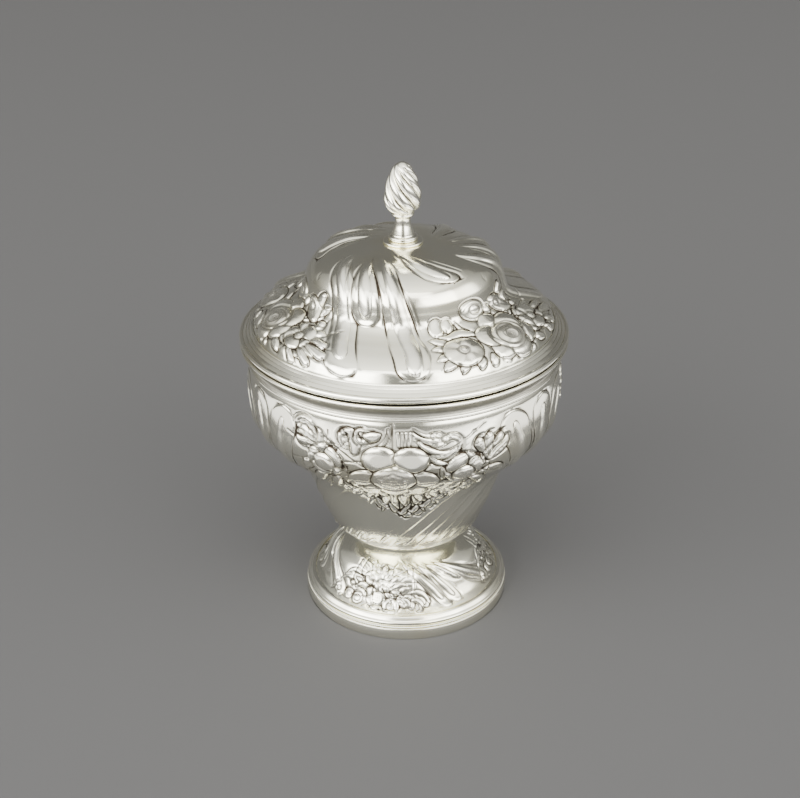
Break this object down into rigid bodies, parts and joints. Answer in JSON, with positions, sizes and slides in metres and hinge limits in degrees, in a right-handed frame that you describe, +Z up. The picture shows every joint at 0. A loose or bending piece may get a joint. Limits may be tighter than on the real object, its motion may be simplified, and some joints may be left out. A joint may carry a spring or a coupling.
{
  "type": "covered sugar bowl",
  "caption": "Covered silver sugar bowl: a vase-shaped chased bowl on a domed foot, with a lift-off domed lid located by a bezel and a flame finial.",
  "frame": {"origin": "centre of the circle that the foot band rests on, at table level", "axes": "+Z up along the bowl's axis of revolution, -Y towards the front, +X to the front viewer's right"},
  "size_m": [0.114, 0.114, 0.165],
  "materials": {
    "bowl_silver": "polished sterling silver, chased, with darkened recesses",
    "lid_silver": "polished sterling silver, chased, with darkened recesses",
    "foot_silver": "polished sterling silver, chased, with darkened recesses",
    "moulding_silver": "polished sterling silver, turned lines",
    "finial_silver": "cast and polished sterling silver",
    "plain_silver": "plain silver, left from the scraper, lightly tarnished"
  },
  "bodies": {
    "bowl": {"bowl_shell": "bowl_silver", "bowl_mouth_moulding": "moulding_silver", "bowl_mouth_bead": "moulding_silver", "foot_pedestal": "foot_silver", "foot_rim_moulding": "moulding_silver", "foot_milled_wire": "moulding_silver", "foot_band": "moulding_silver"},
    "lid": {"lid_dome": "lid_silver", "lid_brim_moulding": "moulding_silver", "lid_bezel": "plain_silver", "finial_base_disc": "finial_silver", "finial_stem": "finial_silver", "finial_flame": "finial_silver", "finial_stud": "plain_silver", "finial_washer": "plain_silver", "finial_nut": "plain_silver"}
  },
  "joints": [
    {"name": "lid_lift", "type": "slide", "parent": "bowl", "child": "lid", "axis": [0, 0, 1], "range_m": [0, 0.1]}
  ]
}
